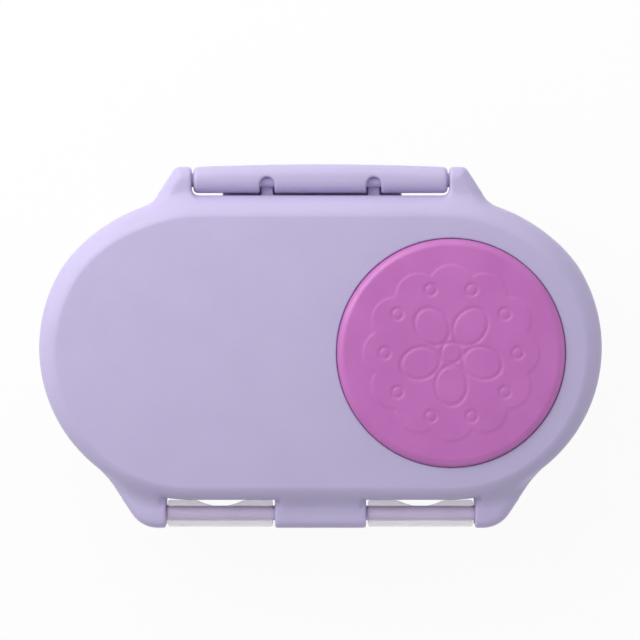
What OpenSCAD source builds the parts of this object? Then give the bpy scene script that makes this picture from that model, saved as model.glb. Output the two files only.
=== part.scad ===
// Toddler snack container: a two-well tray with a hinged lid, two clip-on latches
// and a silicone liner whose round bubble pops up over the fruit well.
// Millimetres. X runs along the box, Y from the latches to the hinge, Z up from the table.

/* [Box] */
// Length over the two round ends
box_l = 200; // [190:1:215]
// Radius of the lid's round ends
end_r = 54.1; // [53.5:0.1:55]
// Height to the top of the bubble
box_h = 46.5; // [45.5:0.5:50]
// Wall of the lid
lid_wall = 2; // [1.8:0.1:2.2]
// Radius of the lid's shoulder
shoulder_r = 8; // [7.5:0.1:9]

/* [Tray] */
// Outer radius of the tray's rim at the round ends
rim_r = 48.4; // [47.8:0.1:48.8]
// Height of the tray's rim
rim_h = 37.3; // [36.5:0.1:38]
// Wall and floor of the tray
tray_wall = 2; // [1.6:0.1:2.4]
// Radius of the tray's bottom edge
tray_edge_r = 9; // [6:0.5:11]
// Draft of the tray's sides in degrees
draft = 3; // [1:0.5:5]
// Place of the divider along the box
divider_x = -42; // [-60:1:-30]

/* [Hinge] */
// Distance of the hinge axis behind the middle
hinge_y = 59.1; // [58.9:0.1:59.5]
// Height of the hinge axis and of the latch axes
pin_z = 34.2; // [33.8:0.1:34.6]
// Diameter of the rods
rod_d = 5; // [4.6:0.1:5.2]
// Outer radius of the hinge barrel
barrel_r = 4.63; // [4.4:0.01:4.7]
// Length of the hinge barrel
barrel_l = 90.5; // [85:0.5:90.5]
// Distance of the barrel's two slots from the middle
slot_x = 19; // [15:0.5:24]

/* [Latches] */
// Distance of the latch axes in front of the middle
latch_y = 59.6; // [59.4:0.1:59.8]
// Distance of each latch from the middle
latch_x = 35.6; // [35:0.1:36.5]
// Width of a latch
latch_w = 37.4; // [34:0.1:37.6]
// Height of the latch's lower edge
latch_low_z = 15.5; // [13:0.5:18]

/* [Bubble] */
// Radius of the round bubble
bubble_r = 40.3; // [36:0.1:40.6]
// Place of the bubble's centre along the box
bubble_x = 46.2; // [45:0.1:47]
// Place of the bubble's centre across the box
bubble_y = -2.4; // [-3:0.1:0]

/* [Hidden] */
$fn = 96;

lavender = "#c4bbdd";
magenta = "#be70b8";
clear = [0.88, 0.88, 0.9, 0.6];
eps = 0.01;
far = 300;

// Box
body_y = -0.5;               // the round ends' centres lie a little towards the latches
end_x = box_l / 2 - end_r;
rod_r = rod_d / 2;
bore_r = rod_r + 0.08;

// Heights
bubble_proud = 2.3;
lid_top = box_h - bubble_proud;
lid_low = 33;
lid_under = lid_top - lid_wall;
shoulder_x = end_r - shoulder_r;
shoulder_z = lid_top - shoulder_r;

// Hinge ears and front tabs of the lid
ear_r = 4.6;
ear_in = 45.9;
ear_top_x = 52.2;
ear_root = [60.1, 51.7];
ear_inside = [68, 48];
tab_r = 5.1;
tab_corner = [64, -latch_y - tab_r];
tab_root = [78.5, -43.1];
tab_inside = [84, -36];
tab_corner_r = 10.3;
tab_root_r = 8;
strip_in = 48;               // how near the middle the ears' and tabs' blocks start
pocket_w = 38.8;             // the gap in the tabs that each latch turns in
blend_r = 3.5;               // hollow between the lid's shoulder and its ears and tabs
rod_grip = 5;                // how far each rod reaches into the lid at either end

// Slots of the barrel, and the lid's two webs that pass through them
slot_w = 5.3;
slot_end = 1;                // how far past the top of the barrel a slot reaches
web_w = 2.8;
slot_floor = 31.4;
barrel_crown = 1;            // how far the barrel's back swells at its middle
barrel_edge = 1.5;
barrel_web_l = 63;           // length of the web that joins the barrel to the tray

// Tray
flange_r = 53.9;
flange_low = 30.4;
flange_top = 32.7;
well_r = rim_r - tray_wall;
partition_x = 75;            // centre of the curved wall between the wells
partition_r = 70;
foot_inset = 12;             // the foot is what is left outside the recess
foot_depth = 0.8;
divider_t = 1.8;
divider_gap = 0.3;
divider_drop = 1;
guide_t = 1.5;
guide_reach = 42.6;
guide_top = 34;

// Front ledge that carries the catch rails
ledge_corner = [62.5, -latch_y - tab_r + 0.6];
ledge_root = [71, -43];
ledge_inside = [76, -30];
ledge_top = 28.6;
ledge_low = 26.2;
ledge_wall = 2;
ledge_skirt = 20.5;
slot_front = 54.4;           // the through-slots behind the rails start this far in front
rail_back = -57.3;
rail_front = -61.4;
rail_low = 24;

// Latches
latch_r = 4.65;
flap_t = 1.65;
flap_corner = 5;
hook_top = 23.6;
hook_low = 21.4;
hook_tip = rail_front - 0.15;
scoop_r = 17;
scoop_depth = 2;
mouth_w = 4.2;               // snap-in mouth of the latches and of the barrel

// Silicone
liner_t = 1.3;
liner_low = lid_under - liner_t;
liner_r = 49.2;
bead_w = 3;
bead_low = rim_h + 0.3;
crown_t = 1.7;
crown_edge_r = 2.8;
crown_sink = 0.8;            // how far the bubble's lower edge lies below the lid's top
wall_out = 39.5;
wall_t = 1.5;
hole_r = bubble_r + 0.45;
crown_low = lid_top - crown_sink;

// ---------------------------------------------------------------- helpers

function unit(v) = v / norm(v);

// The corner at b, between a and c, rounded to a radius
function rounded(a, b, c, radius, steps = 7) =
    let (
        u = unit(a - b), v = unit(c - b),
        half = acos(u * v) / 2,
        centre = b + unit(u + v) * radius / sin(half),
        from = b + u * radius / tan(half) - centre,
        to = b + v * radius / tan(half) - centre,
        start = atan2(from.y, from.x),
        turn = (atan2(to.y, to.x) - start + 540) % 360 - 180
    )
    [for (i = [0 : steps]) centre + radius * [cos(start + turn * i / steps), sin(start + turn * i / steps)]];

// Points on the right, followed by their mirror images in reverse order
function with_mirror_image(points) =
    concat(points, [for (i = [len(points) - 1 : -1 : 0]) [-points[i].x, points[i].y]]);

// Turns a section, drawn in radius and height, round both ends and draws it along the sides
module round_box() {
    for (side = [-1, 1])
        translate([side * end_x, body_y, 0]) rotate_extrude() children();
    translate([-end_x, body_y, 0]) rotate([90, 0, 90]) linear_extrude(2 * end_x) {
        children();
        mirror([1, 0]) children();
    }
}

// The same for a narrow section that stays clear of the middle, such as a bead
module round_rail() {
    for (side = [-1, 1])
        translate([side * end_x, body_y, 0]) rotate(-90 * side) rotate_extrude(angle = 180) children();
    for (turn = [0, 180])
        translate([0, body_y, 0]) rotate(turn) along_x(2 * end_x) children();
}

// Draws a section of Y and Z along X
module along_x(length) {
    translate([-length / 2, 0, 0]) rotate([90, 0, 90]) linear_extrude(length) children();
}

module rod(length, radius) {
    rotate([0, 90, 0]) cylinder(h = length, r = radius, center = true);
}

// Half section of a tub with a drafted side and a rounded bottom edge
module tub_section(r_top, z_low, z_top, edge) {
    edge_z = z_low + edge;
    edge_x = r_top - (z_top - edge_z) * tan(draft) - edge / cos(draft);
    polygon([
        [0, z_low], [edge_x, z_low],
        [edge_x + edge * cos(draft), edge_z - edge * sin(draft)],
        [r_top, z_top], [0, z_top]
    ]);
    intersection() {
        translate([edge_x, edge_z]) circle(edge);
        translate([0, z_low]) square([r_top, 2 * edge]);
    }
}

// ---------------------------------------------------------------- tray

module well_space() {
    over = 1;
    round_box() tub_section(well_r + over * tan(draft), tray_wall, rim_h + over, tray_edge_r - tray_wall);
}

// The curved wall between the wells, thicker at its foot
module partition_drum(radius, spread) {
    translate([partition_x, body_y, -1])
        cylinder(h = rim_h + 2, r1 = radius + spread, r2 = radius, $fn = 180);
}

module flange_section() {
    low = [0, flange_low];
    top = [0, flange_top];
    outer_low = [flange_r, flange_low];
    outer_top = [flange_r, flange_top];
    polygon(concat(
        [top, low],
        rounded(low, outer_low, outer_top, 1, 4),
        rounded(outer_low, outer_top, top, 1, 4)
    ));
}

// Pairs of upright ribs on the long walls, with the divider between them
module divider_guides() {
    for (wall = [-1, 1], side = [-1, 1])
        translate([
            divider_x + side * (divider_t / 2 + divider_gap + guide_t / 2),
            body_y + wall * (guide_reach + well_r) / 2,
            guide_top / 2
        ]) cube([guide_t, well_r - guide_reach, guide_top], center = true);
}

module base_tray() color(lavender) difference() {
    union() {
        round_box() tub_section(rim_r, 0, rim_h, tray_edge_r);
        round_box() flange_section();
    }
    // The wide well, left of the partition
    difference() {
        well_space();
        partition_drum(partition_r + tray_wall, 1);
        divider_guides();
    }
    // The fruit well, right of it
    intersection() {
        well_space();
        partition_drum(partition_r, -1);
    }
    // Shallow recess that leaves a foot all round
    translate([0, 0, -1]) round_box() square([rim_r - foot_inset, foot_depth + 1]);
}

// A loose wall that parts the wide well, cut to the tub's own section
module divider() color(magenta) {
    top = rim_h - divider_drop;
    half = well_r - divider_gap - divider_drop * tan(draft);
    translate([divider_x, body_y, 0]) along_x(divider_t) {
        tub_section(half, tray_wall, top, tray_edge_r - tray_wall);
        mirror([1, 0]) tub_section(half, tray_wall, top, tray_edge_r - tray_wall);
    }
}

// ---------------------------------------------------------------- hinge barrel and catch ledge

module barrel_outline() {
    half = barrel_l / 2;
    swell_r = (half * half + barrel_crown * barrel_crown) / (2 * barrel_crown);
    intersection() {
        translate([0, hinge_y + barrel_r + barrel_crown - swell_r]) circle(swell_r, $fn = 720);
        polygon(concat(
            rounded([-half, 70], [-half, hinge_y - barrel_r], [half, 50], barrel_edge),
            rounded([-half, 50], [half, hinge_y - barrel_r], [half, 70], barrel_edge),
            [[half, 70], [-half, 70]]
        ));
    }
}

module hinge_barrel() color(lavender) difference() {
    union() {
        intersection() {
            along_x(barrel_l) translate([hinge_y, pin_z]) {
                circle(barrel_r);
                translate([barrel_crown, 0]) circle(barrel_r);
                translate([0, -barrel_r]) square([barrel_crown, 2 * barrel_r]);
            }
            linear_extrude(60) barrel_outline();
        }
        along_x(barrel_web_l) polygon([
            [48, 24], [48, flange_low - eps], [54, flange_low], [56.2, 31.2],
            [57.8, 29.9], [52, 25]
        ]);
    }
    // Bore and the mouth that snaps over the rod
    translate([0, hinge_y, pin_z]) {
        rod(far, bore_r);
        rotate([45, 0, 0]) translate([-far / 2, -mouth_w / 2, -12]) cube([far, mouth_w, 12]);
    }
    for (side = [-1, 1]) translate([side * slot_x, hinge_y + slot_end - slot_w / 2, slot_floor]) {
        cylinder(h = 20, d = slot_w);
        translate([-slot_w / 2, -20, 0]) cube([slot_w, 20, 20]);
    }
}

// Outline of the lid's front strip, or of the ledge under it, out to a corner and back to the wall at a root
module front_outline(corner, root, inside) {
    polygon(with_mirror_image(concat(
        rounded([0, corner.y], corner, root, tab_corner_r),
        rounded(corner, root, inside, tab_root_r),
        [inside, [60, -30]]
    )));
}

module ledge_outline(inset) {
    front_outline(ledge_corner + inset * [-0.7, 1], ledge_root - [inset, 0], ledge_inside);
}

module latch_places() {
    for (side = [-1, 1]) translate([side * latch_x, 0, 0]) children();
}

module rail_section() {
    rail_r = (rail_back - rail_front) / 2;
    translate([rail_front + rail_r, rail_low + rail_r]) circle(rail_r);
    translate([rail_front + rail_r, rail_low]) square([rail_r, 2 * rail_r]);
}

module catch_ledge() color(lavender) difference() {
    union() {
        difference() {
            union() {
                translate([0, 0, ledge_low]) linear_extrude(ledge_top - ledge_low) ledge_outline(0);
                translate([0, 0, ledge_skirt]) linear_extrude(ledge_top - ledge_skirt) difference() {
                    ledge_outline(0);
                    ledge_outline(ledge_wall);
                }
            }
            latch_places() translate([-pocket_w / 2, -80, 0]) cube([pocket_w, 80 - slot_front, 50]);
        }
        latch_places() along_x(pocket_w + 2 * ledge_wall) rail_section();
        for (side = [-1, 1], end = [-1, 1])
            translate([side * latch_x + end * (pocket_w + ledge_wall) / 2, 0, ledge_skirt])
                translate([-ledge_wall / 2, -latch_y - 3, 0])
                    cube([ledge_wall, latch_y + 3 - 47, ledge_top - ledge_skirt]);
    }
    round_box() tub_section(rim_r, 0, rim_h, tray_edge_r);
}

// ---------------------------------------------------------------- lid

// Half section of the lid's crown, drawn in by an inset
module lid_section(inset, low) {
    translate([0, low]) {
        square([shoulder_x, lid_top - inset - low]);
        square([end_r - inset, max(shoulder_z - low, eps)]);
    }
    intersection() {
        translate([shoulder_x, shoulder_z]) circle(shoulder_r - inset);
        translate([shoulder_x, max(low, shoulder_z)]) square(shoulder_r);
    }
}

// Fills the hollow corner between the lid's shoulder and a ledge of the given height
module blend_section(top) {
    z = top + blend_r;
    x = shoulder_x + sqrt(pow(shoulder_r + blend_r, 2) - pow(z - shoulder_z, 2));
    difference() {
        polygon([[shoulder_x, shoulder_z], [x, z], [x, lid_low], [shoulder_x, lid_low]]);
        translate([x, z]) circle(blend_r);
    }
}

module ear_outline() {
    polygon(concat(
        [[ear_in, 44]],
        rounded([ear_in, 44], [ear_in, hinge_y + ear_r], [ear_top_x, hinge_y + ear_r], 0.8),
        rounded([ear_in, hinge_y + ear_r], [ear_top_x, hinge_y + ear_r], ear_root, 2.8),
        rounded([ear_top_x, hinge_y + ear_r], ear_root, ear_inside, 6),
        [ear_inside, [66, 40]]
    ));
}

// A round roll along X, joined to the lid by a block
module roll(y, radius) {
    along_x(far) {
        translate([y, pin_z]) circle(radius);
        translate([min(y, sign(y) * strip_in), lid_low])
            square([abs(y) - strip_in, pin_z + radius - lid_low]);
    }
}

module lid_edge(y, radius) {
    roll(y, radius);
    round_box() blend_section(pin_z + radius);
}

module lid_shell() color(lavender) difference() {
    union() {
        round_box() lid_section(0, lid_low);
        intersection() {
            linear_extrude(60) {
                ear_outline();
                mirror([1, 0]) ear_outline();
            }
            lid_edge(hinge_y, ear_r);
        }
        difference() {
            intersection() {
                linear_extrude(60) front_outline(tab_corner, tab_root, tab_inside);
                lid_edge(-latch_y, tab_r);
            }
            latch_places() translate([-pocket_w / 2, -80, 0]) cube([pocket_w, 40, 60]);
        }
        for (side = [-1, 1]) translate([side * slot_x, 0, 0]) along_x(web_w) polygon([
            [53, lid_low + eps], [53, pin_z], [hinge_y, pin_z],
            [hinge_y, pin_z - rod_r], [hinge_y - 3, pin_z - rod_r], [54.6, lid_low + eps]
        ]);
    }
    round_box() lid_section(lid_wall, lid_low - 1);
    translate([bubble_x, bubble_y, 0]) cylinder(h = 60, r = hole_r);
    hinge_rod_shape();
    latch_places() latch_rod_shape();
}

module hinge_rod_shape() translate([0, hinge_y, pin_z]) rod(2 * (ear_in + rod_grip), rod_r);
module latch_rod_shape() translate([0, -latch_y, pin_z]) rod(pocket_w + 2 * rod_grip, rod_r);

module hinge_rod() color(lavender) hinge_rod_shape();
module latch_rod(side) color(lavender) translate([side * latch_x, 0, 0]) latch_rod_shape();

// ---------------------------------------------------------------- latches

module latch_section() {
    low = latch_low_z - pin_z;
    inner = flap_t - latch_r;
    tip = hook_tip + latch_y;
    difference() {
        union() {
            circle(latch_r);
            translate([-latch_r, low + flap_t / 2]) square([flap_t, -low - flap_t / 2]);
            translate([-latch_r + flap_t / 2, low + flap_t / 2]) circle(flap_t / 2);
            polygon([
                [inner - eps, hook_low - pin_z - 1.2], [tip, hook_low - pin_z],
                [tip, hook_top - pin_z], [inner - eps, hook_top - pin_z + 0.4]
            ]);
        }
        circle(bore_r);
        rotate(-45) translate([0, -mouth_w / 2]) square([12, mouth_w]);
    }
}

// Front view of a latch, with round lower corners
module latch_front() {
    half = latch_w / 2;
    low = latch_low_z - pin_z;
    polygon(with_mirror_image(concat(
        rounded([0, low], [half, low], [half, 0], flap_corner),
        rounded([half, 0], [half, latch_r], [0, latch_r], 0.8)
    )));
}

module latch(side) color(clear) translate([side * latch_x, -latch_y, pin_z]) difference() {
    intersection() {
        along_x(latch_w) latch_section();
        rotate([90, 0, 0]) linear_extrude(20, center = true) latch_front();
    }
    // Thumb scoop in the back of the barrel
    translate([0, latch_r - scoop_depth + scoop_r, -10]) cylinder(h = 20, r = scoop_r);
}

// ---------------------------------------------------------------- silicone

module bead_section() {
    half = bead_w / 2;
    translate([-half, bead_low + half]) square([bead_w, liner_low - bead_low - half + eps]);
    translate([0, bead_low + half]) circle(half);
}

module seal_liner() color(magenta) difference() {
    union() {
        round_box() intersection() {
            lid_section(lid_wall, liner_low);
            square([liner_r, lid_under]);
        }
        round_rail() translate([(rim_r + well_r) / 2, 0]) bead_section();
        intersection() {
            translate([partition_x, body_y, 0]) rotate_extrude($fn = 180)
                translate([partition_r + tray_wall / 2, 0]) bead_section();
            round_box() square([well_r + tray_wall / 2, lid_under]);
            translate([-20, -60, 0]) cube([50, 120, 60]);
        }
    }
    translate([bubble_x, bubble_y, 0]) cylinder(h = 60, r = wall_out);
}

// The thin wall that unfolds as the bubble pops up
module bubble_wall() color(magenta) translate([bubble_x, bubble_y, liner_low]) difference() {
    cylinder(h = crown_low - liner_low, r = wall_out);
    translate([0, 0, -1]) cylinder(h = 20, r = wall_out - wall_t);
}

module bubble_crown() color(magenta) translate([bubble_x, bubble_y, 0]) rotate_extrude() difference() {
    union() {
        translate([0, crown_low]) {
            square([bubble_r - crown_edge_r, box_h - crown_low]);
            square([bubble_r, box_h - crown_edge_r - crown_low]);
        }
        intersection() {
            translate([bubble_r - crown_edge_r, box_h - crown_edge_r]) circle(crown_edge_r);
            translate([0, crown_low]) square([bubble_r, box_h]);
        }
    }
    square([wall_out - wall_t, box_h - crown_t]);
}

base_tray();
hinge_barrel();
catch_ledge();
divider();
lid_shell();
hinge_rod();
latch_rod(-1);  // latch_rod_left
latch_rod(1);  // latch_rod_right
latch(-1);  // latch_left
latch(1);  // latch_right
seal_liner();
bubble_wall();
bubble_crown();
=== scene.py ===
"""A toddler's snack container: satin lavender mouldings, clear latches and a silicone bubble.

Each moulding is a field: a function of x, y and z in mm that is negative inside the moulding and about
the distance from its surface elsewhere. surface() makes a mesh of it. The hinge is at +Y, the latches are
at -Y, and the bubble is at +X.
"""

import itertools
import math

import bpy
import numpy as np
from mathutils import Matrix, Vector


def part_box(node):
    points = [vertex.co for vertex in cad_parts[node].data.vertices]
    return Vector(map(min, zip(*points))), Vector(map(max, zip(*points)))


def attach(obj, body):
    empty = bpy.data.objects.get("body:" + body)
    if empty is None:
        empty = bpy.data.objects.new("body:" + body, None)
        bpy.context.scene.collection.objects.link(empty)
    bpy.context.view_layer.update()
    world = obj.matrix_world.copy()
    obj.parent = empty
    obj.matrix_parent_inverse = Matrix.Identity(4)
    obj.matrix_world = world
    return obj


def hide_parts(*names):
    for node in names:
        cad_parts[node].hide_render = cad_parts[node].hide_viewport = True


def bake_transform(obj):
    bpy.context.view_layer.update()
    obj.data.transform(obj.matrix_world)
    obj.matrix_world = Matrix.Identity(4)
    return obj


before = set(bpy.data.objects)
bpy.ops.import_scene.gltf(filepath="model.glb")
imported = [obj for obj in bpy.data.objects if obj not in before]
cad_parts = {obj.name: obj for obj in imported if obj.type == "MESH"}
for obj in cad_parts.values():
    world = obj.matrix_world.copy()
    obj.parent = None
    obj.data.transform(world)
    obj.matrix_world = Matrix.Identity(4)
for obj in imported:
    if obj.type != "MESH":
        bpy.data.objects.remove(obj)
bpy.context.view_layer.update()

MM = 0.001
COARSER = 1.0

# ---------------------------------------------------------------- sizes, in mm

# The lid. Plans are corners as x, y and, where the corner is round, its radius.
END_X = 45.9                    # centres of the plan's round ends
END_Y = -0.5
END_R = 54.1
REAR_TRIM = 1.2                 # how much flatter the plan is beyond the ears
TRIM_X = (41, 24)               # where the trim starts along x, and over what length it grows
TRIM_Y = (26, 22)               # the same along y
LID_WALL = 2.0
LID_LOW = 33.0
LID_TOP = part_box("lid_shell")[1].z / MM
SHOULDER_W = 6.5                # width of the shoulder at y = 0
SHOULDER_WIDENS = 0.036         # how much wider it is for each mm of y
SHOULDER_POWER = 1.65           # 1 is a chamfer, 2 is round

PIN_Z = 34.2                    # height of the hinge's axis and of the latches' axes
HINGE_Y = 59.1
LATCH_Y = -59.6
LATCH_X = 35.6
ROD_R = 2.5
BORE_R = 2.58
MOUTH_HALF = 2.1                # half width of the mouth by which a barrel snaps onto its rod

EAR_IN = 45.9
EAR_R = 4.6
EAR_PLAN = [(30, 30), (30, 63.7), (51.6, 63.7, 2.8), (60.6, 49.7), (60, 30)]
EAR_FILL = (2.2, 1.0)           # width of the filled corner at the plan's edge, and what it gains inside
TAB_R = 5.1
TAB_PLAN = [(-30, -30), (-30, -64.7), (63.7, -64.7, 11), (79.6, -41.0), (60, -30)]
TAB_FILL = (2.6, 3.4)
TAB_POWER = 3.0                 # makes the front strip's edge squarer than round
TAB_LEAN = 0.14                 # how the top of the front strip rises towards the front
FILL_REACH = 4                  # how far inside the plan a filled corner has its full width
POCKET_HALF = 19.4              # half width of the pockets that hold the latches
POCKET_FILL = 0.3               # width of the filled corner at a pocket's ends
POCKET_REACH = 3                # how far beyond a pocket it has the strip's own width

WEB_HALF = 2.1                  # the lid's webs, which pass through the barrel's slots to the hinge rod
WEB_IN_Y = 52.5
WEB_OUT_Y = HINGE_Y - 0.6
WEB_TOP = PIN_Z - 0.9
WEB_RISE = (54.5, 1.2)          # where the top starts to rise towards the lid, and how steeply
WEB_FOOT_Y = 53.7               # where the sloping underside is level with the lid's edge

# The hinge barrel
BARREL_R = 4.63
BARREL_HALF = 45.25
BARREL_SWELL = 1.0              # how much further it bulges to the rear at the middle
BARREL_EDGE = 1.6
SLOT_X = 19.0
SLOT_R = 2.65
SLOT_END_Y = HINGE_Y + 1
SLOT_LOW = 31.4
BRIDGE_MID = -3.0               # the bridge that joins the barrel to the tray
BRIDGE_HALF = 32.0
BRIDGE_SECTION = [(48, 24), (48, 30.3), (54, 30.4), (56.2, 31.2), (57.8, 29.9), (52, 25)]   # y, z

# The tray and its divider
RIM_R = 48.4
RIM_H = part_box("base_tray")[1].z / MM
TRAY_WALL = 2.0
TRAY_EDGE = 9.0                 # radius of its lower edge
DRAFT = math.radians(3)
FLANGE_R = 53.9
FLANGE_LOW = 30.4
FLANGE_TOP = 32.7
FLANGE_EDGE = 1.0
PARTITION_X = 75.0              # centre and radius of the curved partition
PARTITION_R = 70.0
FOOT_INSET = 12.0
FOOT_DEPTH = 0.8
DIVIDER_X = -42.0
DIVIDER_HALF = 0.9
DIVIDER_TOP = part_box("divider")[1].z / MM
DIVIDER_GAP = 0.3               # between the divider and what holds it
GUIDE_HALF = 0.75               # the ribs that hold the divider
GUIDE_REACH = 42.6
GUIDE_TOP = 34.0

# The front ledge and its catch rails
LEDGE_PLAN = [(-30, -30), (-30, -64.1), (62.5, -64.1, 10.3), (71, -43, 8), (76, -30), (60, -30)]
LEDGE_TOP = 28.6
LEDGE_LOW = 26.2
LEDGE_WALL = 2.0
LEDGE_SINK = 0.4                # how far it reaches into the tray's wall
SKIRT_LOW = 20.5
SKIRT_BACK_Y = -40
SLIT_Y = -54.4                  # rear side of the openings for the latches' hooks
CHEEK_Y = (LATCH_Y - 3, -47)
RAIL_Y = -59.35
RAIL_Z = 26.05
RAIL_R = 2.05

# The latches, about their own axes
LATCH_R = 4.65
LATCH_HALF = 18.7
LATCH_LOW = 15.5 - PIN_Z
LATCH_EDGE = 0.8
FLAP_T = 1.65
FLAP_CORNER = 5.0
HOOK_SECTION = [(-3.8, -14.0), (-1.95, -12.8), (-1.95, -10.6), (-3.8, -9.8)]   # y, z
HOOK_INSET = 0.15
SCOOP_R = 17.0                  # the shallow round cut in the rear of the barrel
SCOOP_DEPTH = 2.0

# The bubble and the liner
BUBBLE_X = 46.2
BUBBLE_Y = -2.4
BUBBLE_R = 40.4
BUBBLE_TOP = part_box("bubble_crown")[1].z / MM
BUBBLE_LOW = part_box("bubble_crown")[0].z / MM
HOLE_R = 40.6                   # the lid's hole for it
WALL_OUT = 39.5
WALL_IN = 38.0
WALL_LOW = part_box("bubble_wall")[0].z / MM
WALL_SINK = 1                   # how far the wall reaches up into the face
PILLOW_W = 4.3                  # width and height of its round edge
PILLOW_H = 2.5
CROWN_T = 1.7
LINER_R = 49.2
LINER_LOW = 40.9
LINER_GAP = 0.05
BEAD_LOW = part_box("seal_liner")[0].z / MM
BEAD_HALF = 1.5
BEAD_SINK = 0.5                 # how far a bead reaches into the liner's sheet

# The design on the bubble, about its middle
PETAL_COUNT = 5
PETAL_AT = 11.5
PETAL_R = 5.6
PETAL_STRETCH = 1.25
PETAL_TURN = math.pi / 10
HEART_R = 3.6
DOT_COUNT = 10
DOT_AT = 23.5
DOT_R = 1.9
SCALLOP_COUNT = 12
SCALLOP_AT = 23.0
SCALLOP_R = 7.8
PLATE_R = 26.5
PLATE_DEPTH = 0.24
PLATE_EDGE = 0.7
GROOVE_DEPTH = 0.3
GROOVE_FLAT = 0.2               # half width of a groove's flat bottom, and the width of its sides
GROOVE_SIDE = 0.62


# ---------------------------------------------------------------- distances

def soft_min(a, b, width):
    """The nearer of two distances, with the inner corner filled over a width."""
    share = np.clip(0.5 + 0.5 * (b - a) / width, 0, 1)
    return b + (a - b) * share - width * share * (1 - share)


def soft_max(a, b, width):
    """What is inside both a and b, with the outer edge softened over a width."""
    return -soft_min(-a, -b, width)


def smooth_step(t):
    """0 below 0, 1 above 1, and smooth between them."""
    t = np.clip(t, 0, 1)
    return t * t * (3 - 2 * t)


def rounded_corner(a, b, radius):
    """Inside both a and b, with a true round edge where they meet."""
    u, v = a + radius, b + radius
    return np.minimum(np.maximum(u, v), 0) + np.hypot(np.maximum(u, 0), np.maximum(v, 0)) - radius


def shaped_corner(a, b, width, power):
    """Inside both a and b, with an edge between a chamfer, power 1, and a sharp corner."""
    u, v = a + width, b + width
    edge = (np.maximum(u, 0) ** power + np.maximum(v, 0) ** power) ** (1 / power)
    return np.minimum(np.maximum(u, v), 0) + edge - width


def slab(value, low, high):
    """Between two values."""
    return np.maximum(low - value, value - high)


def stadium(x, y, radius):
    """A plan with round ends, about the lid's two centres."""
    return np.hypot(np.maximum(np.abs(x) - END_X, 0), y - END_Y) - radius


def brim(x, y, radius):
    """The plan of the lid and of the flange under it, which is a little flatter beyond the ears."""
    (start_x, length_x), (start_y, length_y) = TRIM_X, TRIM_Y
    flatter = smooth_step((np.abs(x) - start_x) / length_x) * smooth_step((y - start_y) / length_y)
    return stadium(x, y, radius) + REAR_TRIM * flatter


def drum(x, y):
    """The round of the fruit well's partition."""
    return np.hypot(x - PARTITION_X, y - END_Y) - PARTITION_R


def snap_bore(y, z):
    """A snap-on barrel's bore about its axis, and the mouth that lets the rod in."""
    across, along = (y + z) / math.sqrt(2), (y - z) / math.sqrt(2)
    mouth = np.maximum(np.abs(across) - MOUTH_HALF, -along)
    return np.minimum(np.hypot(y, z) - BORE_R, mouth)


def with_rounds(points, steps=8):
    """The polygon with each corner that gives a radius, (x, y, radius), turned into an arc."""
    result = []
    for i, (x, y, *radius) in enumerate(points):
        if not radius:
            result.append((x, y))
            continue
        here = np.array([x, y], float)
        back = np.array(points[i - 1][:2]) - here
        on = np.array(points[(i + 1) % len(points)][:2]) - here
        back, on = back / np.hypot(*back), on / np.hypot(*on)
        half = math.acos(back @ on) / 2
        middle = (back + on) / np.hypot(*(back + on))
        centre = here + middle * radius[0] / math.sin(half)
        start = here + back * radius[0] / math.tan(half) - centre
        turn = math.pi - 2 * half
        turn *= np.sign(back[0] * on[1] - back[1] * on[0])
        for k in range(steps + 1):
            a = -turn * k / steps
            c, d = math.cos(a), math.sin(a)
            result.append((
                centre[0] + c * start[0] - d * start[1],
                centre[1] + d * start[0] + c * start[1]))
    return result


def outline(x, y, points):
    """Signed distance to a polygon, negative inside."""
    x, y = np.broadcast_arrays(x, y)
    points = with_rounds(points)
    best = np.full(x.shape, np.inf)
    sign = np.ones(x.shape)
    for (ax, ay), (bx, by) in zip(points, points[1:] + points[:1]):
        ex, ey = bx - ax, by - ay
        px, py = x - ax, y - ay
        t = np.clip((px * ex + py * ey) / (ex * ex + ey * ey), 0, 1)
        best = np.minimum(best, (px - t * ex) ** 2 + (py - t * ey) ** 2)
        above, below = y >= ay, y < by
        left = ex * py > ey * px
        sign = np.where((above & below & left) | (~above & ~below & ~left), -sign, sign)
    return sign * np.sqrt(best)


# ---------------------------------------------------------------- meshes

CORNERS = list(itertools.product((0, 1), repeat=3))
MARGIN = 1.5            # grid steps outside the limits
SLOPE_REACH = 0.05      # mm to either side at which a field's slope is measured
LEAST_STEEP = 0.25      # keeps a point from running away where a field is flat


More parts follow.
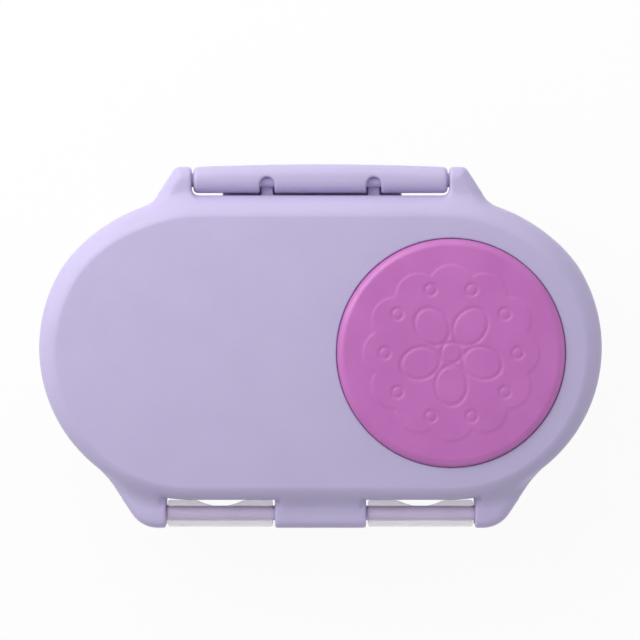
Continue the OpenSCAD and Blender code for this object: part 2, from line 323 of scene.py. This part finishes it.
def surface(field, low, high, step):
    """Points and quads of the surface where field is 0, one point for each grid cell that it crosses."""
    step = step * COARSER
    axes = [np.arange(a - MARGIN * step, b + (MARGIN + 1) * step, step) for a, b in zip(low, high)]
    grid = np.meshgrid(*axes, indexing="ij", sparse=True)
    shape = tuple(len(a) for a in axes)
    value = np.broadcast_to(field(*grid), shape).astype(np.float32)
    inside = value < 0
    cells = tuple(n - 1 for n in shape)
    count = np.zeros(cells, np.int8)
    for corner in CORNERS:
        count += inside[tuple(slice(c, c + n) for c, n in zip(corner, cells))]
    crossed = (count > 0) & (count < len(CORNERS))
    cell = np.argwhere(crossed)
    number = np.full(cells, -1)
    number[crossed] = np.arange(len(cell))

    total = np.zeros((len(cell), 3))
    hits = np.zeros((len(cell), 1))
    for start in CORNERS:
        for axis in (k for k in range(3) if not start[k]):
            end = list(start)
            end[axis] = 1
            a = value[tuple((cell + start).T)]
            b = value[tuple((cell + end).T)]
            cut = (a < 0) != (b < 0)
            point = (cell + start).astype(float)
            point[:, axis] += np.where(cut, a / np.where(cut, a - b, 1), 0)
            total += point * cut[:, None]
            hits += cut[:, None]
    points = np.array([a[0] for a in axes]) + total / hits * step

    quads = []
    for axis in range(3):
        u, v = (axis + 1) % 3, (axis + 2) % 3
        first = inside.take(range(shape[axis] - 1), axis)
        second = inside.take(range(1, shape[axis]), axis)
        at = np.argwhere(first != second)
        at = at[(at[:, u] > 0) & (at[:, v] > 0) & (at[:, u] < cells[u]) & (at[:, v] < cells[v])]
        eu, ev = np.eye(3, dtype=int)[u], np.eye(3, dtype=int)[v]
        ring = np.stack([number[tuple(q.T)] for q in (at - eu - ev, at - ev, at, at - eu)], 1)
        outward = first[tuple(at.T)]
        quads.append(np.where(outward[:, None], ring, ring[:, ::-1]))
    return settle(points, field, step), np.concatenate(quads)


def settle(points, field, step, rounds=2):
    """Moves points onto the surface itself, so that it is smooth between the grid's steps."""
    h = SLOPE_REACH
    for _ in range(rounds):
        x, y, z = points.T
        value = field(x, y, z)
        slope = np.stack([
            field(x + h, y, z) - field(x - h, y, z),
            field(x, y + h, z) - field(x, y - h, z),
            field(x, y, z + h) - field(x, y, z - h),
        ], 1) / (2 * h)
        steep = np.maximum((slope ** 2).sum(1), LEAST_STEEP)
        move = -slope * (value / steep)[:, None]
        points = points + np.clip(move, -step / 2, step / 2)
    return points


def mesh_object(name, points, faces):
    mesh = bpy.data.meshes.new(name)
    mesh.from_pydata((np.asarray(points) * MM).tolist(), [], np.asarray(faces).tolist())
    mesh.shade_smooth()
    mesh.update()
    obj = bpy.data.objects.new(name, mesh)
    bpy.context.scene.collection.objects.link(obj)
    return obj


# ---------------------------------------------------------------- lid

def crown(x, y, z):
    """The lid's outer form, without its open underside. Its shoulder is wider at the rear."""
    width = SHOULDER_W + SHOULDER_WIDENS * np.clip(y, -END_R, END_R)
    return shaped_corner(brim(x, y, END_R), z - LID_TOP, width, SHOULDER_POWER)


def strip(plan, y, z, axis_y, radius, power=2, lean=0):
    """Ears or tabs: a block with a soft top edge all round, and a full roll on the axis."""
    top = PIN_Z + radius + lean * (axis_y - y)
    block = np.maximum(shaped_corner(plan, z - top, radius, power), LID_LOW - z)
    bar = rounded_corner(plan, np.abs(z - PIN_Z) - radius, radius)
    bar = np.maximum(bar, np.hypot(y - axis_y, z - PIN_Z) - radius)
    return soft_min(block, bar, width=0.4)


def fill_width(plan, at_edge, more_inside):
    """Width of a filled corner, which grows from the plan's edge inwards."""
    return at_edge + more_inside * smooth_step(-plan / FILL_REACH)


def lid_webs(side, y, z):
    """The webs in the barrel's slots. Their tops rise to meet the lid."""
    start, steepness = WEB_RISE
    top = WEB_TOP + steepness * np.maximum(start - y, 0)
    webs = np.maximum(np.abs(side - SLOT_X) - WEB_HALF, slab(y, WEB_IN_Y, WEB_OUT_Y))
    webs = np.maximum(webs, slab(z, PIN_Z - ROD_R, top))
    return np.maximum(webs, (LID_LOW - z) - (y - WEB_FOOT_Y))


def lid_field(x, y, z):
    """The crown with its ears, front strip and webs, hollow below and with the bubble's hole."""
    side = np.abs(x)
    outer = crown(x, y, z)
    shell = soft_max(outer, LID_LOW - z, width=1.0)

    plan = outline(side, y, EAR_PLAN)
    ears = soft_max(strip(plan, y, z, HINGE_Y, EAR_R), EAR_IN - side, width=1.4)
    shell = soft_min(shell, ears, fill_width(plan, *EAR_FILL))

    plan = outline(side, y, TAB_PLAN)
    pocket = np.abs(side - LATCH_X) - POCKET_HALF
    tabs = soft_max(strip(plan, y, z, LATCH_Y, TAB_R, TAB_POWER, TAB_LEAN), -pocket, width=1.0)
    beyond = smooth_step(pocket / POCKET_REACH)
    shell = soft_min(shell, tabs, POCKET_FILL + (fill_width(plan, *TAB_FILL) - POCKET_FILL) * beyond)

    shell = soft_min(shell, lid_webs(side, y, z), width=0.8)
    shell = soft_max(shell, -(outer + LID_WALL), width=0.8)
    hole = HOLE_R - np.hypot(x - BUBBLE_X, y - BUBBLE_Y)
    return soft_max(shell, hole, width=0.4)


# ---------------------------------------------------------------- hinge barrel, tray, divider and ledge

def barrel_field(x, y, z):
    """A bar that bulges a little to the rear, with its bore, two slots and the bridge to the tray."""
    side = np.abs(x)
    dy, dz = y - HINGE_Y, z - PIN_Z
    swell = np.maximum(BARREL_SWELL * (1 - (x / BARREL_HALF) ** 2), 0)
    bar = np.hypot(dy - np.clip(dy, 0, swell), dz) - BARREL_R
    bar = rounded_corner(bar, side - BARREL_HALF, BARREL_EDGE)
    bridge = soft_max(outline(y, z, BRIDGE_SECTION), np.abs(x - BRIDGE_MID) - BRIDGE_HALF, width=1.0)
    body = soft_min(bar, bridge, width=1.5)
    body = soft_max(body, -snap_bore(dy, dz), width=0.5)
    slot = np.hypot(side - SLOT_X, np.maximum(y - (SLOT_END_Y - SLOT_R), 0)) - SLOT_R
    return soft_max(body, -np.maximum(slot, SLOT_LOW - z), width=0.9)


def tub(x, y, z, inset):
    """The tray's drafted tub, open upwards, drawn in by an inset."""
    side = (stadium(x, y, RIM_R) + (RIM_H - z) * math.tan(DRAFT)) * math.cos(DRAFT) + inset
    return rounded_corner(side, inset - z, TRAY_EDGE - inset)


def tray_field(x, y, z):
    """The tub with its flange, two wells, the ribs that hold the divider, and a recess inside its foot."""
    outer = tub(x, y, z, 0)
    flange = rounded_corner(brim(x, y, FLANGE_R), slab(z, FLANGE_LOW, FLANGE_TOP), FLANGE_EDGE)
    body = soft_min(soft_max(outer, z - RIM_H, width=1.2), flange, width=1.6)

    spread = (RIM_H - z) / RIM_H
    partition = np.maximum(drum(x, y) - TRAY_WALL - spread, -(drum(x, y) + spread))
    partition = soft_max(partition, z - RIM_H, width=1.0)
    from_divider = np.abs(x - DIVIDER_X) - DIVIDER_HALF - DIVIDER_GAP
    guides = np.maximum(np.abs(from_divider - GUIDE_HALF) - GUIDE_HALF, GUIDE_REACH - np.abs(y - END_Y))
    guides = soft_max(guides, z - GUIDE_TOP, width=0.8)
    wells = soft_max(tub(x, y, z, TRAY_WALL), -partition, width=2.5)
    wells = soft_max(wells, -guides, width=0.5)
    body = soft_max(body, -wells, width=0.9)

    recess = soft_max(stadium(x, y, RIM_R - FOOT_INSET), z - FOOT_DEPTH, width=0.8)
    return soft_max(body, -recess, width=0.6)


def divider_field(x, y, z):
    """A flat panel that fills a section of the tub, a gap away from it."""
    panel = soft_max(tub(x, y, z, TRAY_WALL + DIVIDER_GAP), z - DIVIDER_TOP, width=1.6)
    return soft_max(panel, np.abs(x - DIVIDER_X) - DIVIDER_HALF, width=1.2)


def ledge_field(x, y, z):
    """A plate with a skirt, an opening behind each latch, and a rail between cheeks for its hook."""
    side = np.abs(x)
    plan = outline(side, y, LEDGE_PLAN)
    pocket = np.abs(side - LATCH_X) - POCKET_HALF
    plate = soft_max(plan, slab(z, LEDGE_LOW, LEDGE_TOP), width=0.8)
    skirt = np.maximum(np.maximum(plan, -(plan + LEDGE_WALL)), y - SKIRT_BACK_Y)
    skirt = soft_max(skirt, slab(z, SKIRT_LOW, LEDGE_TOP), width=0.8)
    body = soft_max(np.minimum(plate, skirt), -np.maximum(pocket, y - SLIT_Y), width=0.6)
    cheek = np.maximum(np.abs(pocket - LEDGE_WALL / 2) - LEDGE_WALL / 2, slab(y, *CHEEK_Y))
    cheek = soft_max(cheek, slab(z, SKIRT_LOW, LEDGE_TOP), width=0.6)
    flat_rail = np.maximum(slab(y, RAIL_Y, RAIL_Y + RAIL_R), np.abs(z - RAIL_Z) - RAIL_R)
    round_rail = np.hypot(y - RAIL_Y, z - RAIL_Z) - RAIL_R
    rail = np.maximum(np.minimum(flat_rail, round_rail), pocket - LEDGE_WALL)
    body = soft_min(np.minimum(body, cheek), rail, width=0.6)
    return soft_max(body, -(tub(x, y, z, 0) + LEDGE_SINK), width=0.3)


# ---------------------------------------------------------------- latches

def latch_field(x, y, z):
    """A latch about its own axis: a snap-on barrel with a flap and a hook."""
    side = np.abs(x)
    barrel = np.hypot(y, z) - LATCH_R
    flap_y = FLAP_T / 2 - LATCH_R
    flap = np.hypot(y - flap_y, z - np.clip(z, LATCH_LOW + FLAP_T / 2, 0)) - FLAP_T / 2
    hook = outline(y, z, HOOK_SECTION) + HOOK_INSET
    body = soft_min(np.minimum(barrel, flap), hook, width=0.7)
    body = soft_min(body, barrel, width=0.5)
    body = soft_max(body, -snap_bore(y, z), width=0.5)
    front = rounded_corner(side - LATCH_HALF, LATCH_LOW - z, FLAP_CORNER)
    front = rounded_corner(front, z - LATCH_R, LATCH_EDGE)
    body = soft_max(body, front, width=0.9)
    scoop = SCOOP_R - np.hypot(x, y - (LATCH_R - SCOOP_DEPTH + SCOOP_R))
    return soft_max(body, scoop, width=0.7)


# ---------------------------------------------------------------- silicone

def bead(across, z):
    """A sealing bead with a round lower edge. across is the distance from its middle line."""
    round_edge = np.hypot(across, z - BEAD_LOW - BEAD_HALF) - BEAD_HALF
    stem = np.maximum(np.abs(across) - BEAD_HALF, slab(z, BEAD_LOW + BEAD_HALF, LINER_LOW + BEAD_SINK))
    return np.minimum(round_edge, stem)


def liner_field(x, y, z):
    """The sheet under the lid with the beads that press on the tray's rim and on its partition."""
    sheet = np.maximum(crown(x, y, z) + LID_WALL + LINER_GAP, stadium(x, y, LINER_R))
    sheet = soft_max(sheet, LINER_LOW - z, width=0.4)
    rim = stadium(x, y, RIM_R - TRAY_WALL / 2)
    partition = np.maximum(bead(drum(x, y) - TRAY_WALL / 2, z), rim)
    beads = np.minimum(bead(rim, z), np.maximum(partition, x - PARTITION_X / 2))
    body = soft_min(sheet, beads, width=0.8)
    return soft_max(body, WALL_OUT - np.hypot(x - BUBBLE_X, y - BUBBLE_Y), width=0.3)


def groove(distance):
    """Depth of a soft groove along a line."""
    return GROOVE_DEPTH * smooth_step(1 - np.maximum(np.abs(distance) - GROOVE_FLAT, 0) / GROOVE_SIDE)


def bubble_relief(x, y):
    """Height of the bubble's design: a sunken scalloped plate with a blossom and a ring of dots."""
    radius, angle = np.hypot(x, y), np.arctan2(y, x)

    def repeated(count, turn=0.0):
        """x and y in the nearest of count equal sectors, with x along its middle."""
        width = 2 * math.pi / count
        a = (angle + turn + width / 2) % width - width / 2
        return radius * np.cos(a), radius * np.sin(a)

    along, across = repeated(PETAL_COUNT, PETAL_TURN)
    petals = np.hypot((along - PETAL_AT) / PETAL_STRETCH, across) - PETAL_R
    along, across = repeated(DOT_COUNT)
    dots = np.hypot(along - DOT_AT, across) - DOT_R
    along, across = repeated(SCALLOP_COUNT)
    plate = np.minimum(radius - PLATE_R, np.hypot(along - SCALLOP_AT, across) - SCALLOP_R)
    raised = PLATE_DEPTH * smooth_step(plate / PLATE_EDGE)
    return -raised - sum(groove(line) for line in (petals, radius - HEART_R, dots))


def bubble_field(x, y, z):
    """The bubble's hollow face with its pillow edge, and the thin wall below it."""
    x, y = x - BUBBLE_X, y - BUBBLE_Y
    radius = np.hypot(x, y)
    face = rounded_corner(radius - BUBBLE_R, (z - BUBBLE_TOP) * PILLOW_W / PILLOW_H, PILLOW_W)
    face = np.maximum(face, z - BUBBLE_TOP - bubble_relief(x, y))
    face = soft_max(face, BUBBLE_LOW - z, width=0.7)
    hollow = soft_max(radius - WALL_IN, z - BUBBLE_TOP + CROWN_T, width=1.2)
    face = soft_max(face, -hollow, width=0.5)
    middle, half = (WALL_OUT + WALL_IN) / 2, (WALL_OUT - WALL_IN) / 2
    wall = np.maximum(np.abs(radius - middle) - half, slab(z, WALL_LOW, BUBBLE_LOW + WALL_SINK))
    return soft_min(face, wall, width=0.5)


# ---------------------------------------------------------------- materials

NOISE_RANGE = (0.3, 0.7)        # where most of the noise's values are


def linear(r, g, b):
    """Linear colour from the 0-255 values that a screen shows."""
    screen = (r / 255, g / 255, b / 255)
    return tuple(c / 12.92 if c <= 0.04045 else ((c + 0.055) / 1.055) ** 2.4 for c in screen) + (1.0,)


class Surface:
    """A material built round one Principled shader, with noise for its colour, roughness and grain."""

    def __init__(self, name):
        self.material = bpy.data.materials.new(name)
        self.material.use_nodes = True
        self.nodes = self.material.node_tree.nodes
        self.links = self.material.node_tree.links
        self.shader = self.nodes["Principled BSDF"]
        self.place = self.nodes.new("ShaderNodeTexCoord")

    def noise(self, size, detail=2.0, stretch=(1, 1, 1)):
        """Noise with features of about the given size in mm."""
        mapping = self.nodes.new("ShaderNodeMapping")
        mapping.inputs["Scale"].default_value = [1 / (size * MM) * s for s in stretch]
        self.links.new(self.place.outputs["Object"], mapping.inputs["Vector"])
        noise = self.nodes.new("ShaderNodeTexNoise")
        noise.inputs["Scale"].default_value = 1.0
        noise.inputs["Detail"].default_value = detail
        self.links.new(mapping.outputs["Vector"], noise.inputs["Vector"])
        return noise.outputs["Fac"]

    def spread(self, value, low, high):
        """Maps noise's usual range to low..high."""
        node = self.nodes.new("ShaderNodeMapRange")
        limits = (*NOISE_RANGE, low, high)
        for name, number in zip(("From Min", "From Max", "To Min", "To Max"), limits):
            node.inputs[name].default_value = number
        self.links.new(value, node.inputs["Value"])
        return node.outputs["Result"]

    def colours(self, value, dark, light):
        mix = self.nodes.new("ShaderNodeMix")
        mix.data_type = "RGBA"
        mix.inputs["A"].default_value = dark
        mix.inputs["B"].default_value = light
        self.links.new(self.spread(value, 0, 1), mix.inputs["Factor"])
        self.links.new(mix.outputs["Result"], self.shader.inputs["Base Color"])

    def roughness(self, value, low, high):
        self.links.new(self.spread(value, low, high), self.shader.inputs["Roughness"])

    def bumps(self, *layers):
        """Each layer is noise and its height in mm."""
        normal = None
        for value, height in layers:
            bump = self.nodes.new("ShaderNodeBump")
            bump.inputs["Strength"].default_value = 1.0
            bump.inputs["Distance"].default_value = height * MM
            self.links.new(value, bump.inputs["Height"])
            if normal:
                self.links.new(normal, bump.inputs["Normal"])
            normal = bump.outputs["Normal"]
        self.links.new(normal, self.shader.inputs["Normal"])

    def set(self, **values):
        for name, value in values.items():
            self.shader.inputs[name.replace("_", " ")].default_value = value
        return self


def moulded_plastic(name, dark, light):
    """Satin moulded plastic: fine grain, a faint cloudiness and the slight waves of a thin moulding."""
    look = Surface(name).set(
        IOR=1.49, Subsurface_Weight=0.25, Subsurface_Radius=(1.0, 0.5, 0.85), Subsurface_Scale=0.003)
    look.colours(look.noise(size=22, detail=3), linear(*dark), linear(*light))
    look.roughness(look.noise(size=3.5, detail=3), low=0.40, high=0.50)
    look.bumps((look.noise(size=45, detail=1), 0.02), (look.noise(size=0.35), 0.0016))
    return look.material


def silicone(name, dark, light):
    """Soft matt silicone with a dusty bloom and a fine grain."""
    look = Surface(name).set(
        IOR=1.5, Specular_IOR_Level=0.75, Sheen_Weight=0.25, Sheen_Roughness=0.4)
    look.colours(look.noise(size=14, detail=4), linear(*dark), linear(*light))
    look.roughness(look.noise(size=2.2, detail=3), low=0.36, high=0.46)
    look.bumps((look.noise(size=9), 0.012), (look.noise(size=0.28), 0.0022))
    return look.material


def clear_plastic(name, dark, light):
    """Clear moulded plastic, a little milky, with faint flow lines. Lamps shine through it."""
    look = Surface(name).set(
        IOR=1.12, Transmission_Weight=0.6, Alpha=0.48, Coat_Weight=0.5, Coat_Roughness=0.06)
    look.colours(look.noise(size=8), linear(*dark), linear(*light))
    look.roughness(look.noise(size=4, detail=3), low=0.30, high=0.38)
    look.bumps((look.noise(size=6, stretch=(0.2, 1, 1)), 0.006))
    path = look.nodes.new("ShaderNodeLightPath")
    through = look.nodes.new("ShaderNodeBsdfTransparent")
    mix = look.nodes.new("ShaderNodeMixShader")
    look.links.new(path.outputs["Is Shadow Ray"], mix.inputs["Fac"])
    look.links.new(look.shader.outputs["BSDF"], mix.inputs[1])
    look.links.new(through.outputs["BSDF"], mix.inputs[2])
    look.links.new(mix.outputs["Shader"], look.nodes["Material Output"].inputs["Surface"])
    return look.material


LAVENDER = moulded_plastic("lavender_plastic", (193, 183, 218), (196, 186, 221))
MAGENTA_HARD = moulded_plastic("magenta_plastic", (186, 108, 180), (194, 116, 188))
MAGENTA = silicone("magenta_silicone", (188, 99, 180), (196, 108, 188))
CLEAR = clear_plastic("clear_plastic", (224, 215, 225), (232, 224, 233))


# ---------------------------------------------------------------- pieces

def carved(name, field, x=(-101, 101), y=(-66, 66), z=(-0.6, 47), *, step):
    """A field's mesh between limits that contain it, on a grid with steps of the given length, in mm."""
    return mesh_object(name, *surface(field, *zip(x, y, z), step))


def place(obj, body, slot, material, *nodes):
    """Dresses a piece and lets it ride on a body, or on none."""
    if body:
        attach(obj, body)
    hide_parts(*nodes)
    obj.data.materials.append(material)


lid = carved("lid_moulding", lid_field, z=(28.5, 44.6), step=0.55)
place(lid, "lid", "lid_plastic", LAVENDER, "lid_shell")

liner = carved("liner_moulding", liner_field, x=(-97, 97), y=(-52, 51), z=(37.2, 42.6), step=0.7)
place(liner, "lid", "silicone", MAGENTA, "seal_liner")

tray = carved("tray_moulding", tray_field, y=(-56, 55), z=(-0.5, 37.8), step=0.95)
place(tray, "base", "tray_plastic", LAVENDER, "base_tray")

barrel = carved("barrel_moulding", barrel_field, x=(-46, 46), y=(47.5, 65.2), z=(23.5, 39.3), step=0.4)
place(barrel, "base", "tray_plastic", LAVENDER, "hinge_barrel")

ledge = carved("ledge_moulding", ledge_field, x=(-80, 80), y=(-65, -30), z=(20, 29), step=0.5)
place(ledge, "base", "tray_plastic", LAVENDER, "catch_ledge")

divider = carved("divider_panel", divider_field, x=(-43.5, -40.5), y=(-48, 47), z=(1.5, 36.8), step=0.4)
place(divider, "base", "divider_plastic", MAGENTA_HARD, "divider")

bubble = carved(
    "bubble_moulding", bubble_field,
    x=(5, 87.5), y=(-43.5, 38.5), z=(WALL_LOW - 0.4, BUBBLE_TOP + 0.4), step=0.45)
place(bubble, None, "silicone", MAGENTA, "bubble_crown", "bubble_wall")
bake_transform(bubble)

latch_points, latch_faces = surface(
    latch_field, low=(-19.2, -5.2, -19.2), high=(19.2, 5.2, 5.2), step=0.4)
for word, side in (("left", -1), ("right", 1)):
    latch = mesh_object(
        f"{word}_latch_moulding", latch_points + (side * LATCH_X, LATCH_Y, PIN_Z), latch_faces)
    place(latch, f"latch_{word}", "clear_plastic", CLEAR, f"latch_{word}")

for node in ("hinge_rod", "latch_rod_left", "latch_rod_right"):
    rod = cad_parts[node]
    rod.data.materials.clear()
    rod.data.materials.append(LAVENDER)


# ---------------------------------------------------------------- studio

# Name, direction from the box, distance and size in m, and power in W
LAMPS = [
    ("key", (-0.78, 0.82, 1.0), 0.6, 0.4, 1.75),
    ("side", (-1.0, 0.3, 0.4), 0.8, 0.6, 1.3),
    ("back", (0.1, 1.0, 0.55), 0.45, 0.4, 0.42),
    ("rim", (1.0, -0.1, 0.03), 0.8, 0.5, 0.8),
    ("fill", (0.3, -1.0, 0.55), 0.8, 0.5, 0.35),
]
AMBIENT = 0.43
AMBIENT_COLOUR = (0.97, 0.97, 1.0, 1.0)
FLOOR_WHITE = 0.93              # the white's share in what the camera sees of the floor
FLOOR_HALF = 3.0
FLOOR_Z = -0.0001
CAMERA_AT = (-0.00018, 0.00925, 1.5)
CAMERA_LENS = 231.4


def lamp(name, direction, distance, size, power):
    """A soft square lamp that shines on the middle of the box."""
    light = bpy.data.lights.new(name, "AREA")
    light.shape = "SQUARE"
    light.size = size
    light.energy = power
    obj = bpy.data.objects.new(name, light)
    bpy.context.scene.collection.objects.link(obj)
    away = np.array(direction) / np.linalg.norm(direction)
    obj.location = away * distance
    obj.rotation_euler = Vector(away).to_track_quat("Z", "Y").to_euler()


def white_to_camera(tree, lit, output, amount):
    """Shows a plain white to the camera and in gloss and glass, mixed over what is lit."""
    nodes, links = tree.nodes, tree.links
    path = nodes.new("ShaderNodeLightPath")
    seen = path.outputs["Is Camera Ray"]
    for ray in ("Is Glossy Ray", "Is Transmission Ray"):
        either = nodes.new("ShaderNodeMath")
        either.operation = "MAXIMUM"
        links.new(seen, either.inputs[0])
        links.new(path.outputs[ray], either.inputs[1])
        seen = either.outputs["Value"]
    share = nodes.new("ShaderNodeMath")
    share.operation = "MULTIPLY"
    share.inputs[1].default_value = amount
    links.new(seen, share.inputs[0])
    white = nodes.new("ShaderNodeEmission")
    white.inputs["Color"].default_value = (1, 1, 1, 1)
    white.inputs["Strength"].default_value = 1.0
    mix = nodes.new("ShaderNodeMixShader")
    links.new(share.outputs["Value"], mix.inputs["Fac"])
    links.new(lit, mix.inputs[1])
    links.new(white.outputs["Emission"], mix.inputs[2])
    links.new(mix.outputs["Shader"], output)


for row in LAMPS:
    lamp(*row)

world = bpy.data.worlds.new("studio")
bpy.context.scene.world = world
world.use_nodes = True
ambient = world.node_tree.nodes["Background"]
ambient.inputs["Color"].default_value = AMBIENT_COLOUR
ambient.inputs["Strength"].default_value = AMBIENT
white_to_camera(world.node_tree, ambient.outputs["Background"],
                world.node_tree.nodes["World Output"].inputs["Surface"], amount=1.0)

floor_corners = [(-1, -1), (1, -1), (1, 1), (-1, 1)]
mesh = bpy.data.meshes.new("floor")
mesh.from_pydata([(x * FLOOR_HALF, y * FLOOR_HALF, FLOOR_Z) for x, y in floor_corners], [], [(0, 1, 2, 3)])
floor = bpy.data.objects.new("floor", mesh)
bpy.context.scene.collection.objects.link(floor)
paper = Surface("studio_floor").set(Roughness=0.9, Specular_IOR_Level=0.1)
paper.colours(paper.noise(size=120), (0.9, 0.9, 0.9, 1), (0.92, 0.92, 0.92, 1))
white_to_camera(paper.material.node_tree, paper.shader.outputs["BSDF"],
                paper.nodes["Material Output"].inputs["Surface"], amount=FLOOR_WHITE)
mesh.materials.append(paper.material)

camera = bpy.data.cameras.new("camera")
camera.lens = CAMERA_LENS
camera.sensor_width = 36
camera.clip_end = 20
viewer = bpy.data.objects.new("camera", camera)
viewer.location = CAMERA_AT
bpy.context.scene.collection.objects.link(viewer)
bpy.context.scene.camera = viewer
bpy.context.scene.view_settings.view_transform = "Standard"
